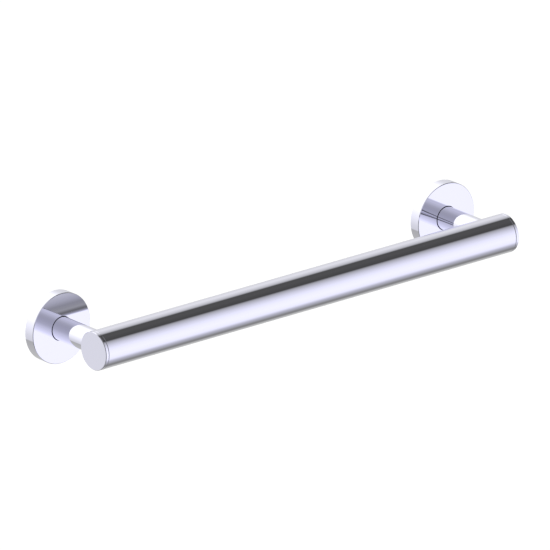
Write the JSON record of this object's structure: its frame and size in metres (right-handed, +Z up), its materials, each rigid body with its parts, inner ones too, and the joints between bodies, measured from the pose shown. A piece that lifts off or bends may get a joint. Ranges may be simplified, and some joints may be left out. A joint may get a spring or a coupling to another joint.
{
  "type": "grab bar",
  "caption": "Straight round grab bar on round posts, with flat end caps and round cover flanges over screwed wall plates.",
  "frame": {"origin": "on the wall plane, midway between the wall plates' outermost screw holes and so between the posts", "axes": "+X along the bar, +Y into the wall, +Z up"},
  "size_m": [0.4588, 0.0825, 0.0588],
  "materials": {
    "chrome": "polished chrome plate",
    "fixing_steel": "plain machined",
    "block_brass": "plain turned",
    "ring_rubber": "matt"
  },
  "bodies": {
    "root": {"grab_tube": "chrome", "left_end_cap": "chrome", "right_end_cap": "chrome", "left_post": "chrome", "right_post": "chrome", "left_cover_flange": "chrome", "right_cover_flange": "chrome", "cover_rings": "ring_rubber", "wall_plates": "fixing_steel", "post_bolts": "fixing_steel", "cover_set_screws": "fixing_steel", "bar_set_screws": "fixing_steel", "socket_blocks": "block_brass"}
  },
  "joints": []
}
